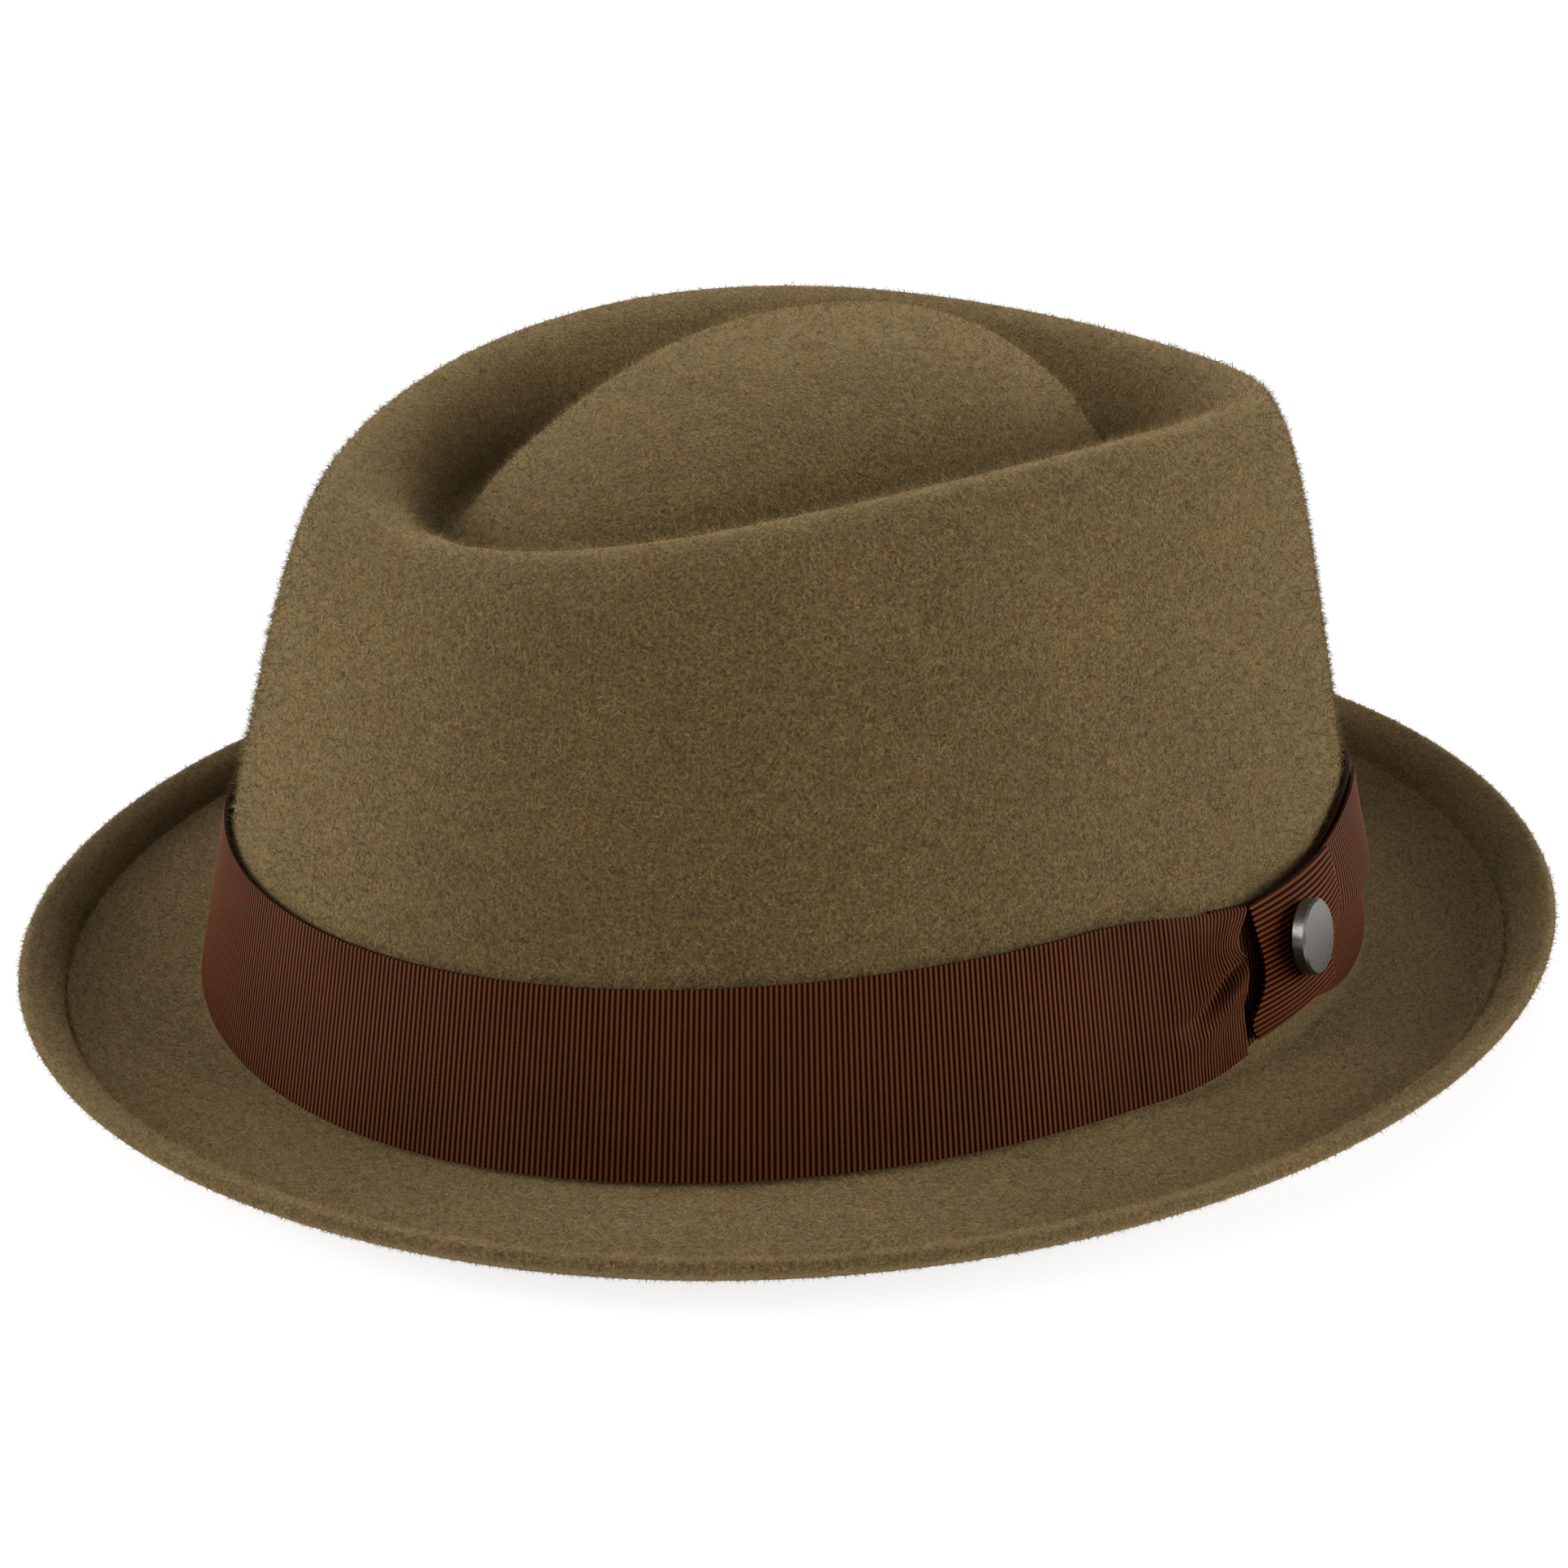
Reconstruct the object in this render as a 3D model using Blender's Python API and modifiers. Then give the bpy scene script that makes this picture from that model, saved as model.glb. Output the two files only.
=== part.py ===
"""Wool felt pork pie hat with a raised centre, a turned and stitched brim edge
and a grosgrain ribbon with a flat side bow held by a round steel button.

Metres, +Z up.  The front of the hat is -Y and the bow is on the wearer's left,
+X.  The brim's flat arcs at the front and the back stand on z = 0.
"""
from collections import namedtuple
from math import cos, pi, radians, sin

import bmesh
import bpy
from mathutils import Matrix, Vector

MM = 0.001

# Overall sizes, in millimetres
SEGMENTS = 72             # stations round the hat
FELT = 2.0                # felt thickness
CROWN_HALF_X = 83.8       # crown at its fold, half width
CROWN_HALF_Y = 94.6       # crown at its fold, half length
CROWN_FRONT = 2.3         # the crown stands this far before the brim's centre
FOLD_SIDE = 6.4           # height of the fold at the sides
FOLD_END = 2.1            # height of the fold at the front and the back
RIM_HALF_X = 54.9         # crest of the crown's rim, half width
RIM_HALF_Y = 71.2
RIM_BACK = -0.8
RIM_SIDE = 91.6           # the rim is highest at the sides
RIM_END = 83.3
RIM_TILT = 3.3            # the rim dips this much in front and lifts behind
RIM_EGG = 0.05            # its plan is this much narrower before its middle
RIM_BLUNT = 0.90          # below 1 the rim's ends are blunter than an ellipse
BRIM_HALF_X = 111.6
BRIM_HALF_Y = 125.4
BRIM_TILT = 1.6           # the brim's edge dips this much in front and lifts behind
DOME_BACK = 6.0           # the raised centre's top, behind the brim's centre
DOME_TOP = 99.9
GROOVE_SIDE = 76.0        # lowest line of the dent at the sides
GROOVE_END = 73.5

RIBBON_HIGH = 26.0
RIBBON_THICK = 0.9
RIBBON_UP = 1.0           # the ribbon's lower edge above the fold
GAP = 0.35                # between touching pieces
GATHER_AT = 108.0         # the knot gathers the band here, in degrees from the front
GATHER_WIDE = 24.0
GATHER_TOP = 4.5
GATHER_LOW = 3.2

BUTTON_AT = 108.3         # angle from the front, towards the wearer's left
BUTTON_RISE = 14.8        # its centre above the ribbon's lower edge
BUTTON_TURN = 6.0         # degrees it faces further back than the crown's wall
BUTTON_DIA = 11.0
BUTTON_THICK = 2.2

# The crown's side wall: the share of the way up to the rim's crest, and of the
# way in to it at the sides and at the ends, where the rim rolls over more
Wall = namedtuple("Wall", "rise side end")
WALL = (
    Wall(rise=0.015, side=0.000, end=0.000),
    Wall(rise=0.100, side=0.063, end=0.048),
    Wall(rise=0.200, side=0.138, end=0.106),
    Wall(rise=0.310, side=0.225, end=0.172),
    Wall(rise=0.440, side=0.341, end=0.261),
    Wall(rise=0.580, side=0.478, end=0.368),
    Wall(rise=0.720, side=0.608, end=0.474),
    Wall(rise=0.838, side=0.730, end=0.587),
    Wall(rise=0.912, side=0.820, end=0.686),
    Wall(rise=0.965, side=0.902, end=0.800),
    Wall(rise=0.992, side=0.958, end=0.905),
    Wall(rise=1.000, side=1.000, end=1.000),
)

# The dent: the share of the way from the rim's crest down to the groove,
# and how much of the groove's depth is reached there
Dent = namedtuple("Dent", "across drop")
DENT = (
    Dent(across=0.15, drop=0.025),
    Dent(across=0.32, drop=0.110),
    Dent(across=0.50, drop=0.290),
    Dent(across=0.68, drop=0.560),
    Dent(across=0.85, drop=0.850),
    Dent(across=1.00, drop=1.000),
)
GROOVE_IN_SIDE = 0.30     # the groove's share of the way from the rim to the dome
GROOVE_IN_FRONT = 0.15
GROOVE_IN_BACK = 0.24

# The raised centre: the share of its radius and of its height
Dome = namedtuple("Dome", "out rise")
DOME = (
    Dome(out=0.93, rise=0.110),
    Dome(out=0.81, rise=0.345),
    Dome(out=0.67, rise=0.595),
    Dome(out=0.52, rise=0.800),
    Dome(out=0.38, rise=0.920),
    Dome(out=0.24, rise=0.976),
)

# The brim's upper face: the share of the way out from the crown's fold to the
# brim's edge, its height at the sides and at the ends
Brim = namedtuple("Brim", "out side end")
BRIM_TOP = (
    Brim(out=0.035, side=6.4, end=2.1),
    Brim(out=0.200, side=6.1, end=2.2),
    Brim(out=0.400, side=5.7, end=2.8),
    Brim(out=0.600, side=5.4, end=4.0),
    Brim(out=0.750, side=5.6, end=5.3),
    Brim(out=0.775, side=6.6, end=6.4),
    Brim(out=0.850, side=8.8, end=8.7),
    Brim(out=0.925, side=10.6, end=10.6),
    Brim(out=0.975, side=10.9, end=10.9),
    Brim(out=1.000, side=9.6, end=9.6),
    Brim(out=0.975, side=8.5, end=8.5),
    Brim(out=0.890, side=6.8, end=6.5),
    Brim(out=0.740, side=3.6, end=2.9),
    Brim(out=0.560, side=3.5, end=1.4),
    Brim(out=0.360, side=3.8, end=-0.2),
    Brim(out=0.130, side=4.1, end=-0.2),
    Brim(out=-0.030, side=4.6, end=-0.1),
)

OBJECT = "pork_pie_hat"


def clear_scene():
    for item in list(bpy.data.objects):
        bpy.data.objects.remove(item, do_unlink=True)


def oval(angle, half_x, half_y, back, blunt=1.0):
    """A point of an oval at an angle from the front, towards +X."""
    s = sin(angle)
    x = half_x * abs(s) ** blunt * (1 if s >= 0 else -1)
    return x, back - half_y * cos(angle)


def between(side, end, angle):
    """A height that swings from its end value to its side value."""
    return (side + end) / 2 - (side - end) / 2 * cos(2 * angle)


def mix(a, b, share):
    return tuple(p + (q - p) * share for p, q in zip(a, b))


def fold_point(angle):
    x, y = oval(angle, CROWN_HALF_X, CROWN_HALF_Y, -CROWN_FRONT)
    return x, y, between(FOLD_SIDE, FOLD_END, angle)


def rim_point(angle):
    x, y = oval(angle, RIM_HALF_X, RIM_HALF_Y, RIM_BACK, RIM_BLUNT)
    x *= 1 - RIM_EGG * cos(angle)
    return x, y, between(RIM_SIDE, RIM_END, angle) - RIM_TILT * cos(angle)


def wall_point(angle, row):
    low = fold_point(angle)
    high = rim_point(angle)
    x, y, _ = mix(low, high, between(row.side, row.end, angle))
    return x, y, low[2] + (high[2] - low[2]) * row.rise


def groove_point(angle):
    end = mix((GROOVE_IN_BACK,), (GROOVE_IN_FRONT,), (1 + cos(angle)) / 2)[0]
    share = between(GROOVE_IN_SIDE, end, angle)
    x, y, _ = mix(rim_point(angle), (0, DOME_BACK, 0), share)
    return x, y, between(GROOVE_SIDE, GROOVE_END, angle)


def dent_point(angle, row):
    high = rim_point(angle)
    low = groove_point(angle)
    x, y, _ = mix(high, low, row.across)
    return x, y, high[2] + (low[2] - high[2]) * row.drop


def dome_point(angle, row):
    low = groove_point(angle)
    x, y, _ = mix((0, DOME_BACK, 0), low, row.out)
    return x, y, low[2] + (DOME_TOP - low[2]) * row.rise


def brim_point(angle, row):
    ax, ay = oval(angle, CROWN_HALF_X, CROWN_HALF_Y, -CROWN_FRONT)
    bx, by = oval(angle, BRIM_HALF_X, BRIM_HALF_Y, 0)
    x = ax + (bx - ax) * row.out
    y = ay + (by - ay) * row.out
    tilt = BRIM_TILT * max(0.0, row.out - 0.4) / 0.6 * cos(angle)
    return x, y, max(0.0, between(row.side, row.end, angle) - tilt)


def stations(count=SEGMENTS):
    return [2 * pi * k / count for k in range(count)]


def outer_rings():
    """Rings of the felt's outer face, from the dome's top to the crown's fold."""
    rings = []
    for row in reversed(DOME):
        rings.append([dome_point(a, row) for a in stations()])
    for row in reversed(DENT):
        rings.append([dent_point(a, row) for a in stations()])
    for row in reversed(WALL):
        rings.append([wall_point(a, row) for a in stations()])
    return rings


def inner_rings(rings, top):
    """The same rings moved one felt thickness in along the surface's normals."""
    moved = []
    last = len(rings) - 1
    for i, ring in enumerate(rings):
        above = rings[i - 1] if i else [top] * len(ring)
        below = rings[min(i + 1, last)]
        inner = []
        for k, point in enumerate(ring):
            around = Vector(ring[(k + 1) % len(ring)]) - Vector(ring[k - 1])
            down = Vector(below[k]) - Vector(above[k])
            normal = down.cross(around).normalized()
            inner.append(tuple(Vector(point) - normal * FELT))
        moved.append(inner)
    return moved


def loft(rings, start=None, end=None):
    """A closed body through rings of points, shut by a pole at each end."""
    mesh = bmesh.new()
    rows = [[mesh.verts.new(Vector(p) * MM) for p in ring] for ring in rings]
    count = len(rows[0])
    for upper, lower in zip(rows, rows[1:]):
        for k in range(count):
            n = (k + 1) % count
            mesh.faces.new((upper[k], lower[k], lower[n], upper[n]))
    if start is not None:
        pole = mesh.verts.new(Vector(start) * MM)
        for k in range(count):
            mesh.faces.new((pole, rows[0][k], rows[0][(k + 1) % count]))
    if end is not None:
        pole = mesh.verts.new(Vector(end) * MM)
        for k in range(count):
            mesh.faces.new((pole, rows[-1][(k + 1) % count], rows[-1][k]))
    if start is None and end is None:
        for k in range(count):
            n = (k + 1) % count
            mesh.faces.new((rows[-1][k], rows[0][k], rows[0][n], rows[-1][n]))
    return mesh


def felt_material(name, colour, roughness, metallic=0.0):
    made = bpy.data.materials.new(name)
    made.use_nodes = True
    shader = made.node_tree.nodes["Principled BSDF"]
    shader.inputs["Base Color"].default_value = (*colour, 1)
    shader.inputs["Roughness"].default_value = roughness
    shader.inputs["Metallic"].default_value = metallic
    return made


def add_part(name, mesh, group, material, sharp=40):
    """A named object from a bmesh, with its faces pointing out."""
    bmesh.ops.recalc_face_normals(mesh, faces=mesh.faces[:])
    data = bpy.data.meshes.new(name)
    mesh.to_mesh(data)
    mesh.free()
    data.materials.append(material)
    data.shade_smooth()
    data.set_sharp_from_angle(angle=radians(sharp))
    part = bpy.data.objects.new(name, data)
    group.objects.link(part)
    return part


def build_felt(group):
    outer = outer_rings()
    top = (0, DOME_BACK, DOME_TOP)
    inner = inner_rings(outer, top)
    brim = [[brim_point(a, row) for a in stations()] for row in BRIM_TOP]
    rings = outer + brim + list(reversed(inner))
    mesh = loft(rings, start=top, end=(0, DOME_BACK, DOME_TOP - FELT))
    felt = felt_material("wool_felt", (0.112, 0.078, 0.036), 0.95)
    return add_part("felt_body", mesh, group, felt)


def wall_frame(angle, rise, off):
    """A point off the crown's wall: rise above the ribbon's lower edge."""
    low = Vector(fold_point(angle))
    step = 0.001
    side = Vector(fold_point(angle + step)) - Vector(fold_point(angle - step))
    foot = wall_point(angle, WALL[0])
    head = wall_point(angle, WALL[3])
    up = (Vector(head) - Vector(foot)).normalized()
    out = side.cross(up).normalized()
    start = Vector(foot) + up * ((RIBBON_UP + low.z - foot[2]) / up.z)
    return start + up * rise + out * off, out, up, side.normalized()


def band_rise(angle, share):
    """Height on the band, 0 at its lower edge and 1 at its upper, gathered in
    at the knot."""
    away = (angle / pi * 180 - GATHER_AT) / GATHER_WIDE
    gather = cos(pi / 2 * away) ** 2 if abs(away) < 1 else 0.0
    low = GATHER_LOW * gather ** 3
    high = RIBBON_HIGH - GATHER_TOP * gather
    return low + (high - low) * share


def build_ribbon(group, material):
    rings = []
    for share, off in (
        (0.0, GAP + RIBBON_THICK),
        (0.5, GAP + RIBBON_THICK),
        (1.0, GAP + RIBBON_THICK),
        (1.0, GAP),
        (0.5, GAP),
        (0.0, GAP),
    ):
        ring = [wall_frame(a, band_rise(a, share), off)[0] for a in stations()]
        rings.append([tuple(point) for point in ring])
    return add_part("ribbon_band", loft(rings), group, material)


def smooth(share):
    share = min(1.0, max(0.0, share))
    return share * share * (3 - 2 * share)


def plate(place, across, along, thick):
    """A closed cloth plate: place(u, v) gives its under face and its outward way."""
    mesh = bmesh.new()
    under = []
    over = []
    for j in range(along + 1):
        low = []
        high = []
        for i in range(across + 1):
            point, out = place(i / across, j / along)
            low.append(mesh.verts.new(point * MM))
            high.append(mesh.verts.new((point + out * thick) * MM))
        under.append(low)
        over.append(high)
    for j in range(along):
        for i in range(across):
            a, b = over[j], over[j + 1]
            mesh.faces.new((a[i], a[i + 1], b[i + 1], b[i]))
            a, b = under[j], under[j + 1]
            mesh.faces.new((a[i], b[i], b[i + 1], a[i + 1]))
    for j in range(along):
        mesh.faces.new((under[j][0], over[j][0], over[j + 1][0], under[j + 1][0]))
        mesh.faces.new((under[j][-1], under[j + 1][-1], over[j + 1][-1], over[j][-1]))
    for i in range(across):
        mesh.faces.new((under[0][i], under[0][i + 1], over[0][i + 1], over[0][i]))
        mesh.faces.new((under[-1][i], over[-1][i], over[-1][i + 1], under[-1][i + 1]))
    return mesh


# The side bow, in degrees from the front and millimetres above the ribbon's
# lower edge.  Everything lies on the band with a gap.
ON_BAND = GAP + RIBBON_THICK + GAP
LOOP_FROM = 85.0
LOOP_TO = 101.4
LOOP_PUFF = 3.0
KNOT_FROM = 102.3
KNOT_TO = 117.4
KNOT_TAIL = 113.4         # the knot's tail is narrower than its top
KNOT_LOW = 2.6
KNOT_HIGH = 22.3
KNOT_OFF = 1.0
REAR_FROM = 118.1
REAR_TO = 136.0
REAR_LOW = 13.0           # its lower edge above the ribbon's
REAR_CLIMB = 3.0          # and this much more at its far end
REAR_WIDE = 11.0
REAR_PUFF = 4.2


def loop_place(u, v):
    """The front loop: flat on the band, puffed and pinched at the knot."""
    angle = radians(LOOP_FROM + (LOOP_TO - LOOP_FROM) * u)
    near = smooth((u - 0.35) / 0.65)
    upper = sin(pi * min(1.0, max(0.0, (v - 0.46) / 0.54))) ** 0.8
    lower = sin(pi * min(1.0, v / 0.46)) ** 1.2
    puff = near * (LOOP_PUFF * upper + 0.6 * lower)
    rise = band_rise(angle, 0.01 + 0.98 * v)
    point, out, up, side = wall_frame(angle, rise, ON_BAND + puff)
    return point, out


def knot_place(u, v):
    """The knot: a short wrap across the band, with a flared tail below it."""
    right = KNOT_TAIL + (KNOT_TO - KNOT_TAIL) * smooth((v - 0.2) / 0.4)
    left = KNOT_FROM + 0.7 * sin(pi * v)
    angle = radians(left + (right - left) * u)
    rise = KNOT_LOW + 2.6 * u + (KNOT_HIGH - KNOT_LOW - 1.2 * u) * v
    crown = (KNOT_OFF + 1.3 * sin(pi * u)) * sin(pi * min(1.0, max(0.0, v))) ** 0.5
    crown += 1.6 * u * (1 - v) ** 2
    point, out, up, side = wall_frame(angle, rise, ON_BAND + crown)
    return point, out


def rear_place(u, v):
    """The rear loop: a folded end whose lower edge stands off the crown."""
    angle = radians(REAR_FROM + (REAR_TO - REAR_FROM) * u)
    rise = REAR_LOW + REAR_CLIMB * u + (REAR_WIDE - 0.6 * u) * v
    lift = REAR_PUFF * sin(pi * (0.13 + 0.87 * u)) * (1 - 0.45 * v)
    point, out, up, side = wall_frame(angle, rise, ON_BAND + 0.2 + lift)
    return point, out


def build_bow(group, material):
    loop = plate(loop_place, 10, 8, 0.9)
    add_part("bow_front_loop", loop, group, material)
    knot = plate(knot_place, 8, 10, 1.1)
    knot_part = add_part("bow_knot", knot, group, material)
    rear = plate(rear_place, 8, 6, 0.9)
    add_part("bow_rear_loop", rear, group, material)
    return knot_part


def turned(name, profile, place, group, material):
    """A turned piece about the local Z axis, from the outer side's top down."""
    data = bpy.data.meshes.new(name)
    mesh = bmesh.new()
    points = [mesh.verts.new((r * MM, 0, z * MM)) for r, z in profile]
    for a, b in zip(points, points[1:]):
        mesh.edges.new((a, b))
    mesh.to_mesh(data)
    mesh.free()
    data.materials.append(material)
    part = bpy.data.objects.new(name, data)
    group.objects.link(part)
    part.matrix_world = place
    screw = part.modifiers.new("turn", "SCREW")
    screw.steps = 48
    screw.render_steps = 48
    screw.use_merge_vertices = True
    screw.merge_threshold = 0.00001
    screw.use_normal_calculate = True
    screw.use_smooth_shade = False
    return part


def button_place():
    angle = radians(BUTTON_AT)
    rest = ON_BAND + KNOT_OFF + 1.3 + 1.1 + GAP + 0.5
    point, out, up, side = wall_frame(angle, BUTTON_RISE, rest)
    out = Matrix.Rotation(radians(BUTTON_TURN), 3, up) @ out
    side = up.cross(out)
    turn = Matrix((side, up, out)).transposed().to_4x4()
    return Matrix.Translation(point * MM) @ turn


def build_button(group, material):
    r = BUTTON_DIA / 2
    t = BUTTON_THICK
    profile = (
        (0.0, t - 0.15),
        (r - 1.0, t - 0.15),
        (r - 0.9, t),
        (r - 0.35, t),
        (r, t - 0.4),
        (r, 0.35),
        (r - 0.3, 0.0),
        (0.0, 0.0),
    )
    return turned("button", profile, button_place(), group, material)


def main():
    clear_scene()
    group = bpy.data.collections.new(OBJECT)
    bpy.context.scene.collection.children.link(group)
    band = felt_material("ribbon_grosgrain", (0.082, 0.022, 0.008), 0.6)
    bow = felt_material("bow_grosgrain", (0.065, 0.018, 0.008), 0.6)
    steel = felt_material("brushed_steel", (0.42, 0.40, 0.38), 0.32, 1.0)
    build_felt(group)
    build_ribbon(group, band)
    build_bow(group, bow)
    build_button(group, steel)


main()
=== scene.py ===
# Wool felt pork pie hat on a pale studio floor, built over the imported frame.
import math

import bmesh
import bpy
import numpy as np
from mathutils import Matrix, Vector


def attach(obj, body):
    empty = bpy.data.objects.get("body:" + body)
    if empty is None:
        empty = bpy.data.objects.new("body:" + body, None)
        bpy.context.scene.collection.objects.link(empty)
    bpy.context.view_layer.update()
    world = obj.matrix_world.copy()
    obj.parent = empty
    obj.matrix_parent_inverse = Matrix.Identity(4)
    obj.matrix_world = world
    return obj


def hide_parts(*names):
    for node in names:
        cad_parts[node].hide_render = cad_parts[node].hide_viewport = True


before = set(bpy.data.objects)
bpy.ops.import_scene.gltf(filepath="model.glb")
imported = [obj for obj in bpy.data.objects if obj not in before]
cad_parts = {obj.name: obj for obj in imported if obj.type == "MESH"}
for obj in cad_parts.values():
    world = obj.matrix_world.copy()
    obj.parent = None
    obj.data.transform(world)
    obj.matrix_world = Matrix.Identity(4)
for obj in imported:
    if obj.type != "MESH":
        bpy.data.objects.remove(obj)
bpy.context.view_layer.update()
print("frame loaded:", sorted(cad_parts))

mm = 0.001


# small helpers

def linear(hexColour):  # sRGB hex to linear RGBA
    channels = [int(hexColour[i:i + 2], 16) / 255 for i in (1, 3, 5)]
    return [c / 12.92 if c < 0.04045 else ((c + 0.055) / 1.055) ** 2.4 for c in channels] + [1]


def deselectAll():
    if bpy.context.object and bpy.context.object.mode != "OBJECT":
        bpy.ops.object.mode_set(mode="OBJECT")
    bpy.ops.object.select_all(action="DESELECT")


def pick(piece):  # the one selected and active object
    deselectAll()
    piece.select_set(True)
    bpy.context.view_layer.objects.active = piece


def applyModifiers(piece):
    pick(piece)
    for modifier in list(piece.modifiers):
        bpy.ops.object.modifier_apply(modifier=modifier.name)


def node(tree, kind, settings=None, **links):  # one node with its settings and links
    made = tree.nodes.new(kind)
    for key, value in (settings or {}).items():
        if key in made.bl_rna.properties:
            setattr(made, key, value)
        else:
            made.inputs[key].default_value = value
    for key, source in links.items():
        numbered = key[0] == "i" and key[1:].isdigit()
        target = made.inputs[int(key[1:]) if numbered else key.replace("_", " ")]
        tree.links.new(source, target)
    return made


def newMaterial(name):
    material = bpy.data.materials.new(name)
    material.use_nodes = True
    tree = material.node_tree
    return material, tree, tree.nodes["Principled BSDF"]


def ramp(tree, source, stops):  # a colour ramp from (place, hex or grey) stops
    made = tree.nodes.new("ShaderNodeValToRGB")
    elements = made.color_ramp.elements
    while len(elements) < len(stops):
        elements.new(0.5)
    for element, (place, colour) in zip(elements, stops):
        element.position = place
        element.color = linear(colour) if isinstance(colour, str) else (colour, colour, colour, 1)
    tree.links.new(source, made.inputs[0])
    return made.outputs["Color"]


def multiply(tree, first, second):  # two colours, not clamped
    made = node(tree, "ShaderNodeMix", {
        "data_type": "RGBA", "blend_type": "MULTIPLY", "clamp_result": False}, i6=first, i7=second)
    made.inputs[0].default_value = 1.0
    return made.outputs[2]


# camera at the photograph's angle

camera = {
    "azimuth": 53.24,     # degrees from the hat's front towards the wearer's left
    "elevation": 22.97,
    "roll": 0.82,
    "away": 443.5,        # mm from the point it looks at
    "target": (-4.41, -1.59, 23.53),
    "lens": 63.61,        # mm on a 36 mm sensor
}


def addCamera():
    a, e, r = (math.radians(camera[key]) for key in ("azimuth", "elevation", "roll"))
    back = Vector((math.sin(a) * math.cos(e), -math.cos(a) * math.cos(e), math.sin(e)))
    right = Vector((math.cos(a), math.sin(a), 0))
    up = back.cross(right)
    right, up = right * math.cos(r) + up * math.sin(r), up * math.cos(r) - right * math.sin(r)
    data = bpy.data.cameras.new("photoCamera")
    data.lens = camera["lens"]
    data.sensor_width = 36
    data.clip_start = 0.01
    made = bpy.data.objects.new("photoCamera", data)
    bpy.context.scene.collection.objects.link(made)
    place = Matrix((right, up, back)).transposed().to_4x4()
    place.translation = (Vector(camera["target"]) + back * camera["away"]) * mm
    made.matrix_world = place
    bpy.context.scene.camera = made


addCamera()
print("camera placed")


# the crown's wall, which the ribbon and the bow lie on (mm and degrees)

crown = {
    "foldHalf": (83.8, 94.6),   # at the fold above the brim
    "foldFront": 2.3,
    "foldSide": 6.4,
    "foldEnd": 2.1,
    "rimHalf": (54.9, 71.2),    # at the rim's crest
    "rimBack": -0.8,
    "rimBlunt": 0.90,
    "rimEgg": 0.05,
    "rimSide": 91.6,
    "rimEnd": 83.3,
    "rimTilt": 3.3,
    "foot": (0.015, 0.0, 0.0),  # the wall's straight foot: share up, shares in at sides and ends
    "middle": (0.12, 0.08, 0.06),  # at the ribbon's mid height
    "head": (0.31, 0.225, 0.172),
}


def swing(side, end, angle):  # from its value at the ends to that at the sides
    return (side + end) / 2 - (side - end) / 2 * np.cos(2 * angle)


def foldPoint(angle):
    x = crown["foldHalf"][0] * np.sin(angle)
    y = -crown["foldFront"] - crown["foldHalf"][1] * np.cos(angle)
    return np.stack([x, y, swing(crown["foldSide"], crown["foldEnd"], angle)], -1)


def rimPoint(angle):
    s, c = np.sin(angle), np.cos(angle)
    x = crown["rimHalf"][0] * np.sign(s) * np.abs(s) ** crown["rimBlunt"]
    x = x * (1 - crown["rimEgg"] * c)
    y = crown["rimBack"] - crown["rimHalf"][1] * c
    z = swing(crown["rimSide"], crown["rimEnd"], angle) - crown["rimTilt"] * c
    return np.stack([x, y, z], -1)


def wallPoint(angle, shares):
    low, high = foldPoint(angle), rimPoint(angle)
    rise, side, end = shares
    point = low + (high - low) * swing(side, end, angle)[..., None]
    point[..., 2] = low[..., 2] + (high[..., 2] - low[..., 2]) * rise
    return point


def unit(vectors):
    return vectors / np.linalg.norm(vectors, axis=-1, keepdims=True)


def onWall(degrees, rise, off):  # points off the wall, rise above the ribbon's lower edge
    angle = np.radians(degrees)
    foot, head = wallPoint(angle, crown["foot"]), wallPoint(angle, crown["head"])
    up = unit(head - foot)
    side = foldPoint(angle + 0.001) - foldPoint(angle - 0.001)
    out = unit(np.cross(side, up))
    lift = (ribbon["above"] + foldPoint(angle)[..., 2] - foot[..., 2]) / up[..., 2]
    return foot + up * (lift + rise)[..., None] + out * off[..., None], out


def smooth(share):
    share = np.clip(share, 0, 1)
    return share * share * (3 - 2 * share)


def bell(value, centre, wide):
    return np.exp(-((value - centre) / wide) ** 2)


# grosgrain ribbon: round weft ribs across its width

ribbon = {
    "high": 26.0,
    "above": 1.0,         # its lower edge above the fold
    "thick": 0.62,
    "bed": 1.15,          # its outer face off the felt
    "layer": 1.25,        # from one layer's outer face to the next
    "pitch": 0.76,        # rib spacing along the ribbon
    "ribHigh": 0.19,
    "grooveShadeSharp": 1.6,      # how fast the painted shade darkens the colour into the groove
    "scallop": 0.10,      # ribs stand this far out of the selvedge
    "perRib": 8,          # columns of the mesh to a rib
    "rows": 4,
    "loopThick": 0.5,
    "underFrom": 98.0,    # degrees, where the band's hidden end starts
    "gatherAt": 108.0,
    "gatherWide": 24.0,
    "gatherTop": 4.5,
    "gatherLow": 3.2,
}

turnAngles = np.linspace(0, 720, 5761)
turnPoints = wallPoint(np.radians(turnAngles), crown["middle"])
turnSteps = np.linalg.norm(np.diff(turnPoints, axis=0), axis=1)
turnLength = np.concatenate([[0], np.cumsum(turnSteps)])


def alongBand(degrees):
    return np.interp(degrees, turnAngles, turnLength)


def degreesAt(length):
    return np.interp(length, turnLength, turnAngles)


def bandRise(degrees, share):  # the band's height, gathered in at the knot
    away = (np.mod(degrees, 360) - ribbon["gatherAt"]) / ribbon["gatherWide"]
    gather = np.where(np.abs(away) < 1, np.cos(math.pi / 2 * away) ** 2, 0)
    low = ribbon["gatherLow"] * gather ** 3
    high = ribbon["high"] - ribbon["gatherTop"] * gather
    return low + (high - low) * share


def ribProfile(phase):  # 0 in the groove, 1 on the rib
    return np.sqrt(np.clip(1 - (2 * (phase - np.floor(phase)) - 1) ** 2, 0, 1))


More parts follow.
